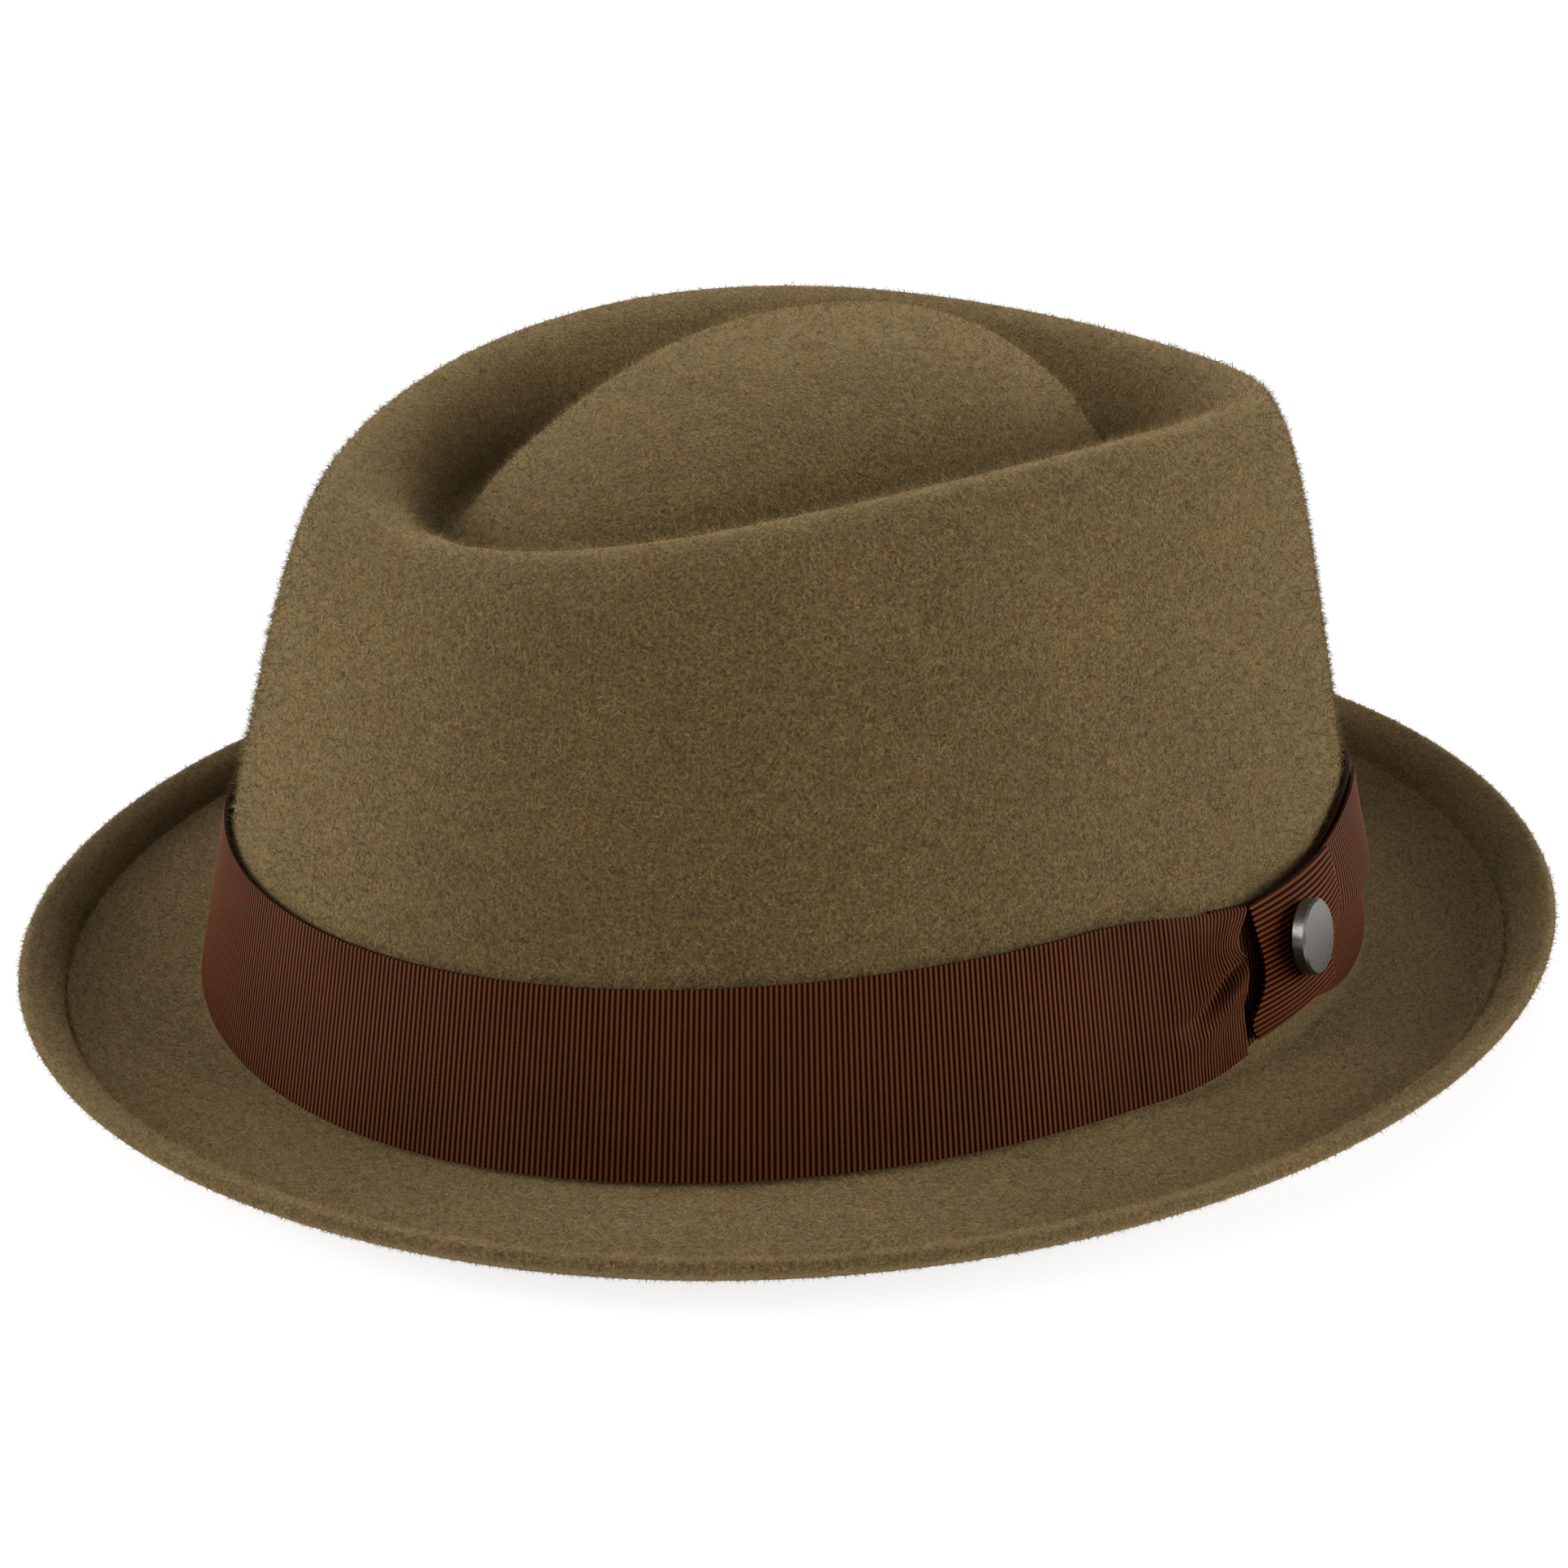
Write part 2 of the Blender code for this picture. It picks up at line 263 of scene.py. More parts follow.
def selvedge(across, high, rib):  # the ribs' ends stand out of the two edges
    edge = (across - 0.5) * 2
    return np.where(np.abs(edge) > 0.999, np.sign(edge), 0) * high * rib


def ribbonPiece(name, columns, rows, place, thick):
    # a grid primitive, each point moved to its place on the cloth, then thickened inwards
    deselectAll()
    bpy.ops.mesh.primitive_grid_add(x_subdivisions=columns, y_subdivisions=rows, size=2)
    piece = bpy.context.object
    piece.name = piece.data.name = name
    mesh = piece.data
    flat = np.empty(len(mesh.vertices) * 3)
    mesh.vertices.foreach_get("co", flat)
    u, v = (flat.reshape(-1, 3)[:, :2].T + 1) / 2
    points, out, rib, cloth = place(u, v)
    mesh.vertices.foreach_set("co", (points * mm).ravel())
    # the rib attribute carries the painted groove shade and the painted crest highlight into the
    # ribbon's colour
    ribs = mesh.attributes.new("rib", "FLOAT", "POINT")
    ribs.data.foreach_set("value", (rib ** ribbon["grooveShadeSharp"]).astype(np.float32))
    corner = np.empty(len(mesh.loops), dtype=np.int32)
    mesh.loops.foreach_get("vertex_index", corner)
    flatCloth = cloth[corner] * mm * 10  # one UV unit is 100 mm
    mesh.uv_layers[0].data.foreach_set("uv", flatCloth.astype(np.float32).ravel())
    mesh.update()
    middle = mesh.polygons[len(mesh.polygons) // 2]
    facing = Vector(out[middle.vertices[0]]).dot(middle.normal)
    if facing < 0:
        pick(piece)
        bpy.ops.object.mode_set(mode="EDIT")
        bpy.ops.mesh.select_all(action="SELECT")
        bpy.ops.mesh.flip_normals()
        bpy.ops.object.mode_set(mode="OBJECT")
    shell = piece.modifiers.new("cloth", "SOLIDIFY")
    shell.thickness = thick * mm
    shell.offset = -1
    applyModifiers(piece)
    bpy.ops.object.shade_smooth_by_angle(angle=math.radians(80))
    return piece


def straightStrip(first, last):  # a strip of band between two angles
    start, end = alongBand(first), alongBand(last)

    def place(u, v):
        length = start + (end - start) * u
        degrees = degreesAt(length)
        rib = ribProfile(length / ribbon["pitch"])
        rise = bandRise(degrees, v) + selvedge(v, ribbon["scallop"], rib)
        points, out = onWall(degrees, rise, ribbon["bed"] + ribbon["ribHigh"] * rib)
        return points, out, rib, np.stack([length, rise], -1)

    return place, int(round((end - start) / ribbon["pitch"]))


frontLoop = {
    "from": 85.0,         # degrees
    "to": 102.2,
    "rows": 60,
    "puff": 2.9,          # mm it swells above the pinch
    "upperRound": 0.75,
    "lowPuff": 1.0,       # and below it
    "lowerRound": 0.9,
    "swellFrom": 0.28,    # share of its length where the swelling starts
    "climbTo": 0.5,       # share of its length over which it climbs its under layer
    "fold": 0.62,         # the pinch's share of the height
    "foldDip": 0.24,      # how far the valley drops away from the knot
    "dipOver": 0.55,
    "recess": 3.9,        # degrees the open upper end stands back from the knot
    "lowRecess": 2.1,
    "creaseDeep": 1.7,
    "creaseWide": 0.05,
    "ridgeHigh": 1.2,     # the ridge just under the crease
    "ridgeBelow": 0.15,
    "ridgeWide": 0.08,
}
rearLoop = {
    "from": 114.5,        # it starts under the knot's edge
    "to": 137.0,
    "rows": 48,
    "puff": 2.7,          # mm it swells off the band
    "swellSkew": 0.8,
    "swellRound": 1.2,
    "topHeld": 0.85,      # share of the swelling that its upper edge lacks
    "topPower": 1.5,
    "clear": 0.75,        # mm off the band
    "low": 12.0,
    "climb": 6.5,         # mm its lower edge climbs
    "climbPower": 1.3,
    "overTop": 0.3,       # mm it stands above the band
    "ribLean": 3.0,       # ribs that the lean covers from edge to edge
}


def frontLoopPlace(u, v):  # the band's end climbs its under layer, puffs up and is pinched
    loop = frontLoop
    fold = loop["fold"] - loop["foldDip"] * smooth((1 - u) / loop["dipOver"])
    above = np.clip((v - fold) / (1 - fold), 0, 1)
    below = np.clip((fold - v) / fold, 0, 1)
    recess = loop["recess"] * np.sin(math.pi * above) + loop["lowRecess"] * smooth(below / 0.25)
    near = smooth((u - loop["swellFrom"]) / (1 - loop["swellFrom"]))
    full = loop["to"] - loop["from"]
    degrees = 360 + loop["from"] + (full - recess * near) * u
    length = alongBand(360 + loop["from"] + full * u)
    rib = ribProfile(length / ribbon["pitch"])
    upper = loop["puff"] * np.sin(math.pi * above) ** loop["upperRound"]
    lower = loop["lowPuff"] * np.sin(math.pi * below) ** loop["lowerRound"] * (1.1 - u)
    crease = loop["creaseDeep"] * bell(v, fold, loop["creaseWide"])
    ridge = loop["ridgeHigh"] * bell(v, fold - loop["ridgeBelow"], loop["ridgeWide"])
    off = ribbon["bed"] + ribbon["layer"] * smooth(u / loop["climbTo"])
    off = off + near * (upper + lower - crease + ridge)
    rise = bandRise(degrees, v) + selvedge(v, ribbon["scallop"], rib)
    points, out = onWall(degrees, rise, off + ribbon["ribHigh"] * rib)
    return points, out, rib, np.stack([length, rise], -1)


def rearLoopPlace(u, v):  # it leaves the knot low and swells off the crown
    loop = rearLoop
    degrees = loop["from"] + (loop["to"] - loop["from"]) * u
    length = alongBand(degrees)
    rib = ribProfile(length / ribbon["pitch"] - loop["ribLean"] * v)
    low = loop["low"] + loop["climb"] * u ** loop["climbPower"]
    rise = low + (bandRise(degrees, 1) + loop["overTop"] - low) * v
    swell = np.sin(math.pi * np.clip(u, 0, 1) ** loop["swellSkew"]) ** loop["swellRound"]
    lift = loop["puff"] * swell * (1 - loop["topHeld"] * v ** loop["topPower"])
    off = ribbon["bed"] + loop["clear"] + lift
    points, out = onWall(degrees, rise, off + ribbon["ribHigh"] * rib)
    return points, out, rib, np.stack([length, rise], -1)


def buildRibbon():
    strips = []
    for name, first, last in (("ribbonBand", rearLoop["to"], 360 + frontLoop["from"]),
                              ("ribbonUnder", ribbon["underFrom"], rearLoop["to"])):
        place, ribs = straightStrip(first, last)
        columns = ribs * ribbon["perRib"]
        strips.append(ribbonPiece(name, columns, ribbon["rows"], place, ribbon["thick"]))
    pick(strips[0])
    strips[1].select_set(True)
    bpy.ops.object.join()
    loops = []
    for name, loop, place in (("bowFrontLoop", frontLoop, frontLoopPlace),
                              ("bowRearLoop", rearLoop, rearLoopPlace)):
        ribs = int((alongBand(loop["to"]) - alongBand(loop["from"])) / ribbon["pitch"])
        columns = ribs * ribbon["perRib"]
        loops.append(ribbonPiece(name, columns, loop["rows"], place, ribbon["loopThick"]))
    return strips[0], loops[0], loops[1]


# the knot: ribs run across it

knot = {
    "from": 102.3,        # degrees, its left edge
    "to": 117.4,          # its right edge above, and at its tail
    "tail": 113.4,
    "waist": 0.6,         # degrees the left edge is drawn in
    "waistAt": 0.55,
    "waistWide": 0.22,
    "flare": 1.8,         # and spreads at its foot
    "flareAt": 0.14,
    "flareWide": 0.15,
    "low": 2.6,           # mm up the band
    "high": 22.3,
    "slope": 2.6,         # mm the right edge stands higher
    "narrow": 1.2,
    "clear": 0.35,        # mm off the loops' ends
    "off": 1.0,
    "hump": 1.3,          # mm it arches over them
    "footLift": 1.6,
    "pitch": 0.8,
    "ribHigh": 0.2,
    "picot": 0.16,        # degrees the ribs stand out of the selvedges
    "thick": 0.7,
    "columns": 44,
}


def buildKnot():
    ribs = int((knot["high"] - knot["low"]) / knot["pitch"])

    def place(u, v):
        right = knot["tail"] + (knot["to"] - knot["tail"]) * smooth((v - 0.2) / 0.4)
        waist = knot["waist"] * bell(v, knot["waistAt"], knot["waistWide"])
        left = knot["from"] + waist - knot["flare"] * bell(v, knot["flareAt"], knot["flareWide"])
        rib = ribProfile(v * ribs)
        degrees = left + (right - left) * u + selvedge(u, knot["picot"], rib)
        high = knot["high"] - knot["low"] - knot["narrow"] * u
        rise = knot["low"] + knot["slope"] * u + high * v
        arch = knot["off"] + knot["hump"] * np.sin(math.pi * u)
        hump = arch * np.sin(math.pi * np.clip(v, 0, 1)) ** 0.5
        hump = hump + knot["footLift"] * u * (1 - v) ** 2
        off = ribbon["bed"] + ribbon["layer"] + knot["clear"] + hump + knot["ribHigh"] * rib
        points, out = onWall(degrees, rise, off)
        return points, out, rib, np.stack([rise * 10, alongBand(degrees)], -1)

    return ribbonPiece("bowKnot", knot["columns"], ribs * ribbon["perRib"], place, knot["thick"])


# the felt: the CAD's own shell, merged and smoothed, then pressed and rounded

felt = {
    "levels": 2,
    "brimHalf": (111.6, 125.4),
    "brimUnder": 14.0,    # mm: the brim lies below this height
    "dentAbove": 60.0,    # and the dent above this one
    "seamOut": 0.757,     # the turned edge's seam, as a share of the brim's width
    "seamWide": 0.011,
    "seamDeep": 1.15,     # mm
    "lipOut": 0.835,      # the turned edge swells beside the seam
    "lipWide": 0.055,
    "lipHigh": 0.75,
    "dentDeep": 2.2,      # mm the dent is pressed below the CAD's
}


def brimShare(points):  # share of the way from the crown's fold to the brim's edge
    halfX, halfY = felt["brimHalf"]
    angle = np.arctan2(points[:, 0] / halfX, -points[:, 1] / halfY)
    for _ in range(3):
        inner = foldPoint(angle)[:, :2]
        reach = np.stack([halfX * np.sin(angle), -halfY * np.cos(angle)], -1) - inner
        share = np.sum((points[:, :2] - inner) * reach, -1) / np.sum(reach ** 2, -1)
        off = points[:, :2] - (inner + reach * share[:, None])
        along = np.stack([np.cos(angle) * halfX, np.sin(angle) * halfY], -1)
        angle = angle + np.sum(off * along, -1) / np.sum(along ** 2, -1)
    return share


def sculptFelt(piece):  # presses the seam and the dent, and rounds the lip beside the seam
    mesh = piece.data
    count = len(mesh.vertices)
    points, normals = np.empty(count * 3), np.empty(count * 3, dtype=np.float32)
    mesh.vertices.foreach_get("co", points)
    mesh.vertex_normals.foreach_get("vector", normals)
    points = points.reshape(-1, 3) / mm
    upward = smooth(normals.reshape(-1, 3)[:, 2] / 0.3) * (points[:, 2] < felt["brimUnder"])
    share = brimShare(points)
    seam = -felt["seamDeep"] * bell(share, felt["seamOut"], felt["seamWide"])
    lip = felt["lipHigh"] * bell(share, felt["lipOut"], felt["lipWide"])
    points[:, 2] += (seam + lip) * upward
    centre = np.array([0, crown["rimBack"]])
    halfX, halfY = crown["rimHalf"]
    crest = rimPoint(np.arctan2(points[:, 0] / halfX, (crown["rimBack"] - points[:, 1]) / halfY))
    across = np.linalg.norm(crest[:, :2] - centre, axis=1)
    reach = np.linalg.norm(points[:, :2] - centre, axis=1) / across
    below = crest[:, 2] - points[:, 2]
    inDent = smooth((0.97 - reach) / 0.12) * smooth((below - 1) / 7)
    inDent = inDent * (points[:, 2] > felt["dentAbove"])
    points[:, 2] -= felt["dentDeep"] * inDent
    mesh.vertices.foreach_set("co", (points * mm).ravel())
    mesh.update()


def buildFelt():
    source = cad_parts["felt_body"]
    deselectAll()
    piece = source.copy()
    piece.data = source.data.copy()
    piece.name = piece.data.name = "feltHat"
    for key in [k for k in piece.keys() if k.startswith("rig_")]:
        del piece[key]
    bpy.context.scene.collection.objects.link(piece)
    piece.parent = None
    piece.matrix_world = Matrix.Identity(4)
    piece.data.materials.clear()
    pick(piece)
    bpy.ops.object.mode_set(mode="EDIT")
    bpy.ops.mesh.select_all(action="SELECT")
    bpy.ops.mesh.remove_doubles(threshold=0.00002)
    bpy.ops.mesh.tris_convert_to_quads(face_threshold=math.radians(70),
                                       shape_threshold=math.radians(120))
    bpy.ops.object.mode_set(mode="OBJECT")
    subdivide = piece.modifiers.new("smooth", "SUBSURF")
    subdivide.levels = subdivide.render_levels = felt["levels"]
    applyModifiers(piece)
    sculptFelt(piece)
    bpy.ops.object.shade_smooth()
    print("felt faces:", len(piece.data.polygons))
    return piece


# nap: short wool fibres that stand out of the felt

nap = {
    "crown": 1.4,         # mm long
    "brim": 0.95,
    "underside": 0.55,
    "width": 0.085,       # mm, coarser than real wool's 0.03
    "tilt": 1.3,          # radians, how far most fibres lie over
    "turn": 3.1,          # and turn round their root
    "crownFrom": 28,      # mm above the floor: above the ribbon's edge
    "dentFrom": 70,
    "brimTo": 14,
    "underFrom": 2.0,
}


def napTree(density, seed, long):
    tree = bpy.data.node_groups.new("nap", "GeometryNodeTree")
    tree.interface.new_socket("Geometry", in_out="INPUT", socket_type="NodeSocketGeometry")
    tree.interface.new_socket("Geometry", in_out="OUTPUT", socket_type="NodeSocketGeometry")
    source = tree.nodes.new("NodeGroupInput")
    result = tree.nodes.new("NodeGroupOutput")
    spread = node(tree, "GeometryNodeDistributePointsOnFaces", {"Density": density, "Seed": seed},
                  Mesh=source.outputs[0])
    spike = node(tree, "GeometryNodeMeshCone", {
        "Vertices": 3, "Side Segments": 1, "Fill Segments": 1, "Radius Top": 0.0,
        "Radius Bottom": nap["width"] / 2 * mm, "Depth": long * mm})
    lean = node(tree, "FunctionNodeRandomValue", {"data_type": "FLOAT_VECTOR", "Seed": seed + 1})
    lean.inputs[0].default_value = (-nap["tilt"], -nap["tilt"], -nap["turn"])
    lean.inputs[1].default_value = (nap["tilt"], nap["tilt"], nap["turn"])
    turn = node(tree, "FunctionNodeEulerToRotation", None, Euler=lean.outputs[0])
    rotate = node(tree, "FunctionNodeRotateRotation", {"rotation_space": "LOCAL"},
                  Rotation=spread.outputs["Rotation"], Rotate_By=turn.outputs[0])
    size = node(tree, "FunctionNodeRandomValue", {"data_type": "FLOAT_VECTOR", "Seed": seed + 2})
    size.inputs[0].default_value = (0.7, 0.7, 0.35)
    size.inputs[1].default_value = (1.3, 1.3, 1.5)
    place = node(tree, "GeometryNodeInstanceOnPoints", None, Points=spread.outputs["Points"],
                 Instance=spike.outputs["Mesh"], Rotation=rotate.outputs[0], Scale=size.outputs[0])
    shade = node(tree, "FunctionNodeRandomValue", {"data_type": "FLOAT", "Seed": seed + 3})
    store = node(tree, "GeometryNodeStoreNamedAttribute", {
        "data_type": "FLOAT", "domain": "INSTANCE"}, Geometry=place.outputs[0])
    store.inputs["Name"].default_value = "fibreShade"
    tree.links.new(shade.outputs[1], store.inputs["Value"])
    realize = node(tree, "GeometryNodeRealizeInstances", None, Geometry=store.outputs[0])
    tree.links.new(realize.outputs[0], result.inputs[0])
    return tree


def napPiece(name, source, keep, count, seed, long):  # fibres on the faces that keep() picks
    piece = source.copy()
    piece.data = source.data.copy()
    piece.name = piece.data.name = name
    bpy.context.scene.collection.objects.link(piece)
    work = bmesh.new()
    work.from_mesh(piece.data)
    drop = [face for face in work.faces
            if not keep(face.calc_center_median() / mm, face.normal)]
    bmesh.ops.delete(work, geom=drop, context="FACES")
    area = sum(face.calc_area() for face in work.faces)
    work.to_mesh(piece.data)
    work.free()
    grow = piece.modifiers.new("nap", "NODES")
    grow.node_group = napTree(count / area, seed, long)
    applyModifiers(piece)
    print(name, "fibres over", round(area * 1e4), "cm2,", len(piece.data.polygons), "faces")
    return piece


def foldRadius(centre):  # 1 on the fold between crown and brim
    halfX, halfY = crown["foldHalf"]
    return math.hypot(centre.x / halfX, (centre.y + crown["foldFront"]) / halfY)


def onCrown(centre, normal):  # the outer skin above the ribbon, and the dent
    inward = Vector((-centre.x, -centre.y, 0)).dot(normal) > 0
    if centre.z < nap["crownFrom"]:
        return False
    if centre.z > nap["dentFrom"] and normal.z > 0.02:
        return True
    return not inward


def onBrimTop(centre, normal):
    return centre.z < nap["brimTo"] and foldRadius(centre) > 1.02 and normal.z > -0.25


def onUnderside(centre, normal):
    onHeight = nap["underFrom"] < centre.z < nap["brimTo"]
    return onHeight and foldRadius(centre) > 0.97 and normal.z <= -0.25


# stitches that hold the turned edge down

stitch = {
    "out": 0.748,         # share of the brim's width
    "long": 2.6,          # mm
    "thick": 0.34,
    "every": 4.2,
    "highSide": 5.6,      # their height at the brim's sides, front and back
    "highEnd": 5.3,
    "tilt": 1.6,
    "above": 0.08,
}


def buildStitches():
    halfX, halfY = felt["brimHalf"]
    angles = np.linspace(0, 2 * math.pi, 2881)
    inner = foldPoint(angles)
    outer = np.stack([halfX * np.sin(angles), -halfY * np.cos(angles), 0 * angles], -1)
    line = inner + (outer - inner) * stitch["out"]
    tilt = stitch["tilt"] * (stitch["out"] - 0.4) / 0.6 * np.cos(angles)
    line[:, 2] = swing(stitch["highSide"], stitch["highEnd"], angles) - tilt
    length = np.concatenate([[0], np.cumsum(np.linalg.norm(np.diff(line, axis=0), axis=1))])
    count = int(length[-1] / stitch["every"])
    deselectAll()
    bpy.ops.mesh.primitive_uv_sphere_add(segments=8, ring_count=6, radius=0.5 * mm)
    master = bpy.context.object
    thick = stitch["thick"]
    master.data.transform(Matrix.Diagonal((stitch["long"], thick, thick, 1)))
    master.data.shade_smooth()
    made = []
    for k in range(count):
        at = length[-1] * (k + 0.5) / count
        here = Vector([np.interp(at, length, line[:, i]) for i in range(3)])
        ahead = Vector([np.interp(at + 0.5, length, line[:, i]) for i in range(3)])
        way = (ahead - here).normalized()
        side = Vector((0, 0, 1)).cross(way).normalized()
        turn = Matrix((way, side, way.cross(side))).transposed().to_4x4()
        copy = master.copy()
        copy.data = master.data.copy()
        root = (here + Vector((0, 0, stitch["above"]))) * mm
        copy.data.transform(Matrix.Translation(root) @ turn)
        bpy.context.scene.collection.objects.link(copy)
        made.append(copy)
    bpy.data.objects.remove(master, do_unlink=True)
    pick(made[0])
    for copy in made:
        copy.select_set(True)
    bpy.ops.object.join()
    made[0].name = made[0].data.name = "edgeStitches"
    return made[0]


# the steel button

button = {
    "at": 107.9,          # degrees round the crown
    "rise": 15.0,         # mm up the band
    "turn": 6.0,          # degrees its face turns towards the back
    "dia": 11.0,
    "thick": 2.2,
    "chamfer": 0.32,
    "rest": 5.55,         # its back off the felt
}


def buildButton():
    at, rise, rest = (np.array([button[key]]) for key in ("at", "rise", "rest"))
    point, out = onWall(at, rise, rest)
    above, _ = onWall(at, rise + 1, rest)
    up = Vector((above - point)[0]).normalized()
    facing = Matrix.Rotation(math.radians(button["turn"]), 3, up) @ Vector(out[0])
    turn = Matrix((up.cross(facing), up, facing)).transposed().to_4x4()
    deselectAll()
    bpy.ops.mesh.primitive_cylinder_add(
        vertices=96, radius=button["dia"] / 2 * mm, depth=button["thick"] * mm,
        location=(0, 0, button["thick"] / 2 * mm))
    piece = bpy.context.object
    piece.name = piece.data.name = "steelButton"
    bpy.ops.object.transform_apply(location=True)
    edge = piece.modifiers.new("chamfer", "BEVEL")
    edge.width = button["chamfer"] * mm
    edge.segments = 1
    edge.limit_method = "ANGLE"
    edge.angle_limit = math.radians(60)
    edge.use_clamp_overlap = True
    applyModifiers(piece)
    piece.data.transform(Matrix.Translation(Vector(point[0]) * mm) @ turn)
    bpy.ops.object.shade_smooth_by_angle(angle=math.radians(30))
    return piece


# materials

def woolFelt(name, fibres=False):
    # pressed wool: matt, a mix of olive, tan and russet fibres, with a soft bloom at grazing
    # light. Patches of 26 mm, russet ones of 5 mm, and flecks of 0.5 mm, which are coarser
    # than real fibres of 0.03 mm
    material, tree, shader = newMaterial(name)
    place = node(tree, "ShaderNodeTexCoord").outputs["Object"]
    patches, russet, heather = (
        node(tree, "ShaderNodeTexNoise", {
            "Scale": scale, "Detail": 4.0, "Roughness": rough, "Distortion": bent}, Vector=place)
        for scale, rough, bent in ((38.0, 0.6, 0.0), (210.0, 0.6, 0.0), (2100.0, 0.75, 0.5)))
    ground = ramp(tree, patches.outputs["Fac"], [(0.35, "#554628"), (0.65, "#5e4c2d")])
    warm = ramp(tree, russet.outputs["Fac"], [(0.50, 0.0), (0.78, 0.34)])
    tinted = node(tree, "ShaderNodeMix", {"data_type": "RGBA"}, i0=warm, i6=ground)
    tinted.inputs[7].default_value = linear("#643f21")
    if fibres:
        shade = node(tree, "ShaderNodeAttribute", {"attribute_name": "fibreShade"})
        tone = ramp(tree, shade.outputs["Fac"], [(0.0, 0.45), (0.45, 1.0), (0.8, 1.8), (1.0, 3.0)])
    else:
        tone = ramp(tree, heather.outputs["Fac"], [(0.34, 0.25), (0.50, 0.90), (0.66, 1.85)])
    tree.links.new(multiply(tree, tinted.outputs[2], tone), shader.inputs["Base Color"])
    shader.inputs["Roughness"].default_value = 0.95
    shader.inputs["Specular IOR Level"].default_value = 0.15
    shader.inputs["Sheen Weight"].default_value = 0.60
    shader.inputs["Sheen Roughness"].default_value = 0.45
    shader.inputs["Sheen Tint"].default_value = linear("#c9b084")
    if not fibres:
        bump = node(tree, "ShaderNodeBump", {"Strength": 0.9, "Distance": 0.0006},
                    Height=heather.outputs["Fac"])
        tree.links.new(bump.outputs["Normal"], shader.inputs["Normal"])
    return material


def grosgrain(name, groove, body, crest):
    # rayon warp over cotton ribs, coloured from the rib attribute: painted shade dark in the
    # grooves and a painted highlight, a soft silky light, on each rib
    material, tree, shader = newMaterial(name)
    rib = node(tree, "ShaderNodeAttribute", {"attribute_name": "rib"}).outputs["Fac"]
    cloth = node(tree, "ShaderNodeUVMap").outputs["UV"]
    # painted shade in the grooves, the ribbon's own brown on the body, a painted highlight on the
    # crests
    colour = ramp(tree, rib, [(0.35, groove), (0.85, body), (1.0, crest)])
    slow = node(tree, "ShaderNodeTexNoise", {"Scale": 4.0, "Detail": 2.0}, Vector=cloth)
    tone = ramp(tree, slow.outputs["Fac"], [(0.3, 0.86), (0.7, 1.12)])
    tree.links.new(multiply(tree, colour, tone), shader.inputs["Base Color"])
    # warp threads run along the ribbon. They are drawn 0.57 mm apart, coarser than the real
    # 0.3 mm; one UV unit is 100 mm
    threads = node(tree, "ShaderNodeTexWave", {
        "bands_direction": "Y", "Scale": 55.0, "Distortion": 0.4, "Detail": 1.0}, Vector=cloth)
    bump = node(tree, "ShaderNodeBump", {"Strength": 0.35, "Distance": 0.00008},
                Height=threads.outputs["Fac"])
    tree.links.new(bump.outputs["Normal"], shader.inputs["Normal"])
    shader.inputs["Roughness"].default_value = 0.65
    shader.inputs["Specular IOR Level"].default_value = 0.07
    shader.inputs["Specular Tint"].default_value = linear("#c78a62")
    return material


def brushedSteel():
    # stainless steel: satin face with brush lines 0.05 mm apart, coarser than real ones
    material, tree, shader = newMaterial("brushedSteel")
    place = node(tree, "ShaderNodeTexCoord").outputs["Object"]
    stretch = node(tree, "ShaderNodeMapping", {"Scale": (1.0, 1.0, 14.0)}, Vector=place)
    grain = node(tree, "ShaderNodeTexNoise", {"Scale": 1400.0, "Detail": 3.0},
                 Vector=stretch.outputs[0])
    rough = ramp(tree, grain.outputs["Fac"], [(0.3, 0.24), (0.7, 0.38)])
    tree.links.new(rough, shader.inputs["Roughness"])
    bump = node(tree, "ShaderNodeBump", {"Strength": 0.03, "Distance": 0.00003},
                Height=grain.outputs["Fac"])
    tree.links.new(bump.outputs["Normal"], shader.inputs["Normal"])
    shader.inputs["Base Color"].default_value = linear("#6b6966")
    shader.inputs["Metallic"].default_value = 1.0
    return material


def finish(piece, material, replaced=()):
    piece.data.materials.clear()
    piece.data.materials.append(material)
    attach(piece, "root")
    if replaced:
        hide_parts(*replaced)


feltMaterial = woolFelt("woolFelt")
fibreMaterial = woolFelt("woolFibre", fibres=True)
# grosgrain colours: painted groove shade, the ribbon's own brown, painted crest highlight
bandMaterial = grosgrain("grosgrainBand", "#090403", "#31190c", "#60351b")
knotMaterial = grosgrain("grosgrainKnot", "#080301", "#321406", "#60300f")
steelMaterial = brushedSteel()

hat = buildFelt()
finish(hat, feltMaterial, ["felt_body"])
bandPiece, frontPiece, rearPiece = buildRibbon()
finish(bandPiece, bandMaterial, ["ribbon_band"])
finish(frontPiece, bandMaterial, ["bow_front_loop"])
finish(rearPiece, bandMaterial, ["bow_rear_loop"])
print("ribbon built")
finish(buildKnot(), knotMaterial, ["bow_knot"])
finish(buildButton(), steelMaterial, ["button"])
print("bow and button built")
finish(buildStitches(), fibreMaterial)
print("stitches built")
for name, keep, count, seed, long in (
    ("napCrownFirst", onCrown, 48000, 3, nap["crown"]),
    ("napCrownSecond", onCrown, 48000, 5, nap["crown"]),
    ("napCrownThird", onCrown, 48000, 7, nap["crown"]),
    ("napBrimFirst", onBrimTop, 48000, 11, nap["brim"]),
    ("napBrimSecond", onBrimTop, 48000, 13, nap["brim"]),
    ("napUnderside", onUnderside, 30000, 23, nap["underside"]),
):
    finish(napPiece(name, hat, keep, count, seed, long), fibreMaterial)


# floor and light

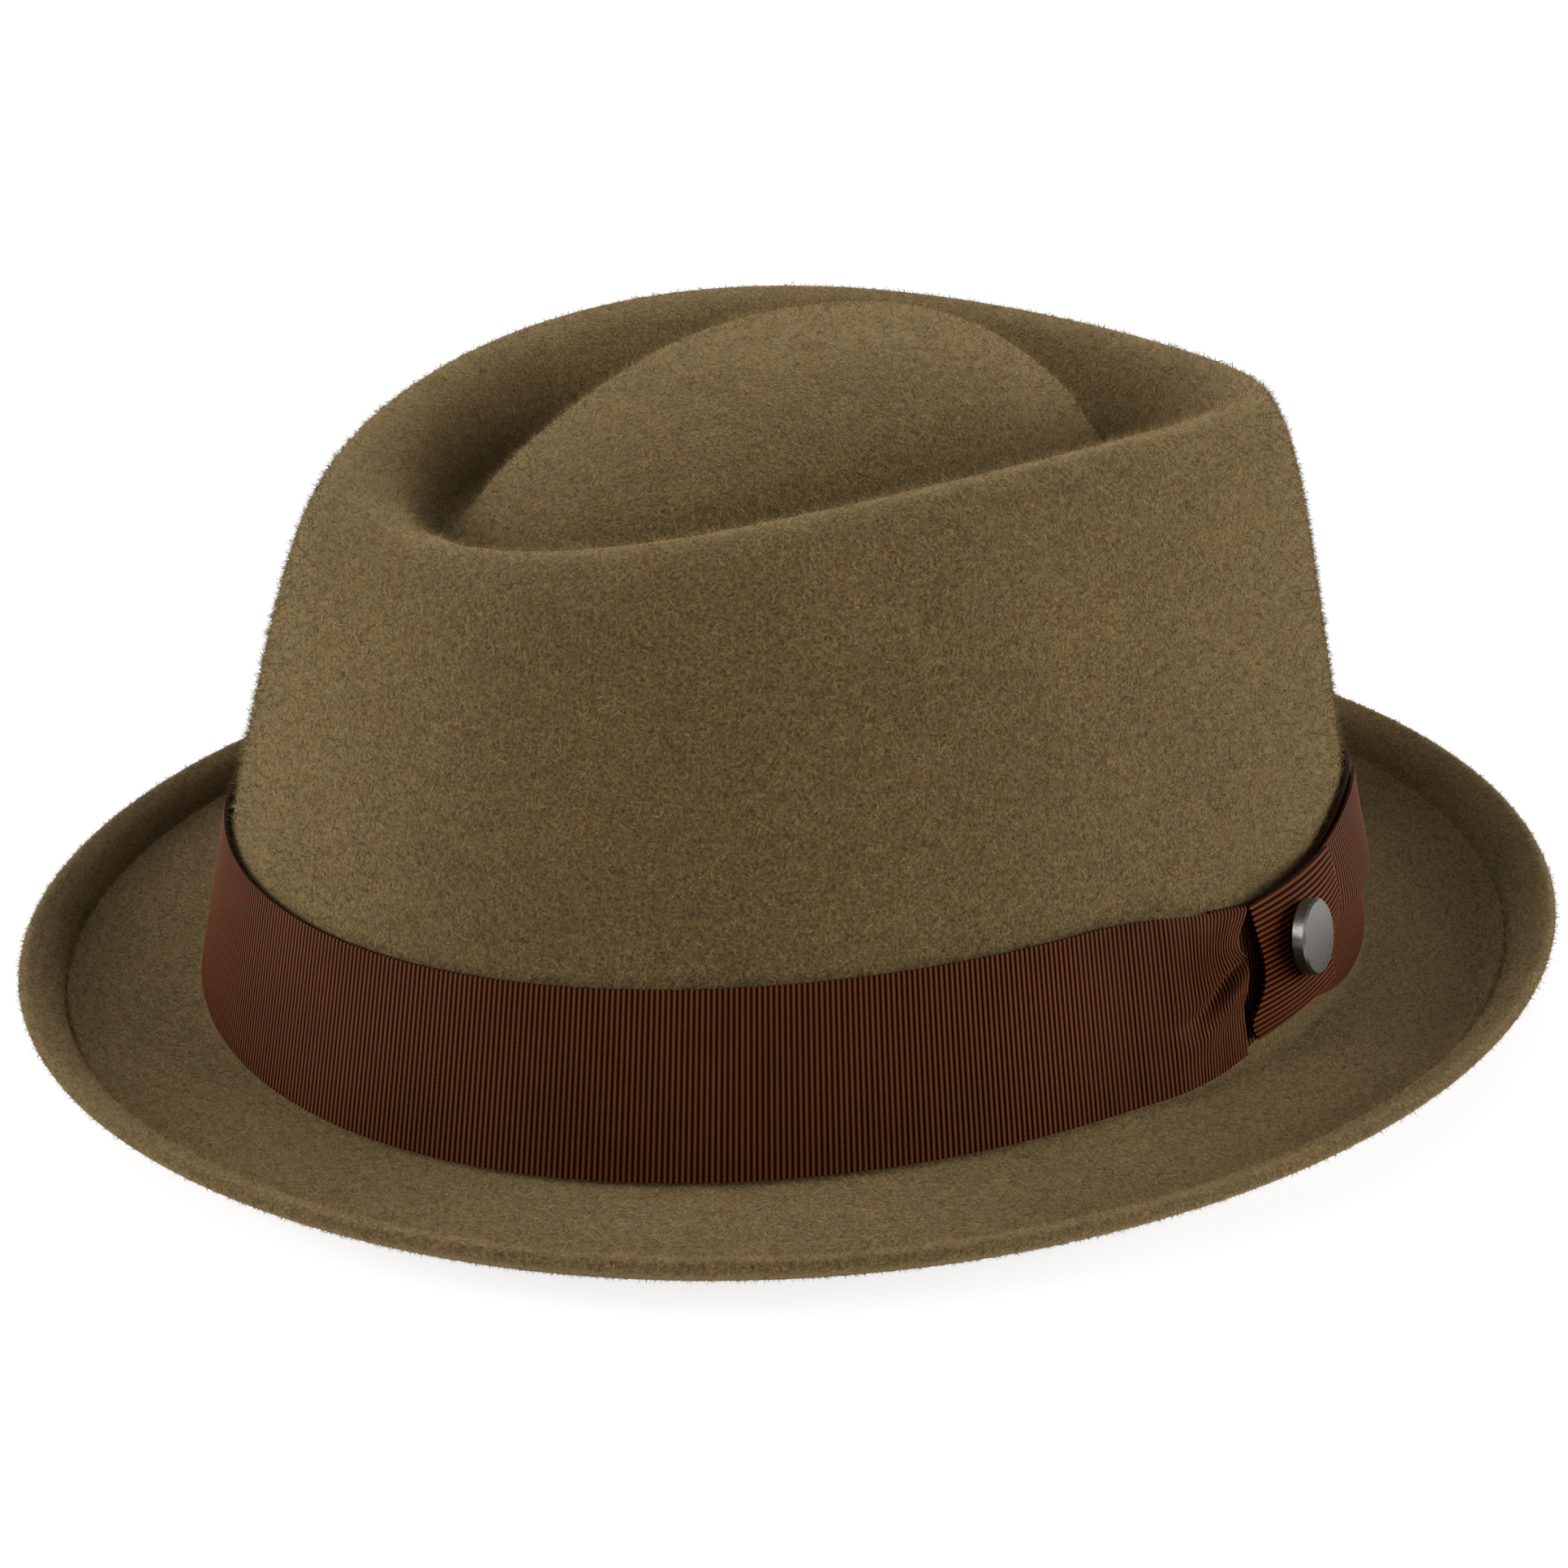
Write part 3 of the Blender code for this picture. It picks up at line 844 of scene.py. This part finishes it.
studio = {
    "floor": "#8c8c8c",
    "glow": 0.80,         # the floor's own light, as on a light table
    "horizon": 0.9,       # world light low round the horizon
    "sky": 0.08,          # and above it
    "lights": {  # name: (azimuth, elevation, watts per m2, degrees it spans)
        "leftSoftbox": (-42, 13, 2.9, 36),
        "leftFront": (-15, 25, 1.7, 36),
        "rightSoftbox": (148, 15, 3.0, 36),
        "rightFront": (120, 20, 2.1, 36),
        "leftTop": (-37, 60, 1.35, 80),
        "back": (233, 25, 1.4, 60),
    },
}


def addWorld():
    world = bpy.data.worlds.new("studioWorld")
    world.use_nodes = True
    tree = world.node_tree
    background = tree.nodes["Background"]
    direction = node(tree, "ShaderNodeTexCoord").outputs["Generated"]
    height = node(tree, "ShaderNodeSeparateXYZ", None, Vector=direction)
    fall = node(tree, "ShaderNodeMapRange", {
        "From Min": 0.03, "From Max": 0.11, "To Min": studio["horizon"], "To Max": studio["sky"],
        "interpolation_type": "SMOOTHSTEP"}, Value=height.outputs["Z"])
    tree.links.new(fall.outputs["Result"], background.inputs["Strength"])
    background.inputs["Color"].default_value = (1, 1, 1, 1)
    bpy.context.scene.world = world


def addStudio():
    deselectAll()
    bpy.ops.mesh.primitive_plane_add(size=12)
    floor = bpy.context.object
    floor.name = "floor"
    material, tree, shader = newMaterial("paleFloor")
    shader.inputs["Base Color"].default_value = linear(studio["floor"])
    shader.inputs["Roughness"].default_value = 0.9
    shader.inputs["Emission Color"].default_value = (1, 1, 1, 1)
    shader.inputs["Emission Strength"].default_value = studio["glow"]
    floor.data.materials.append(material)
    addWorld()
    for name, (azimuth, elevation, strength, spans) in studio["lights"].items():
        a, e = math.radians(azimuth), math.radians(elevation)
        back = Vector((math.sin(a) * math.cos(e), -math.cos(a) * math.cos(e), math.sin(e)))
        data = bpy.data.lights.new(name, "SUN")
        data.angle = math.radians(spans)
        data.energy = strength
        lamp = bpy.data.objects.new(name, data)
        bpy.context.scene.collection.objects.link(lamp)
        lamp.location = Vector((0, 0, 0.05)) + back
        lamp.rotation_euler = back.to_track_quat("Z", "Y").to_euler()
    bpy.context.scene.view_settings.view_transform = "Standard"
    bpy.context.scene.view_settings.look = "None"


addStudio()
print("studio lit")
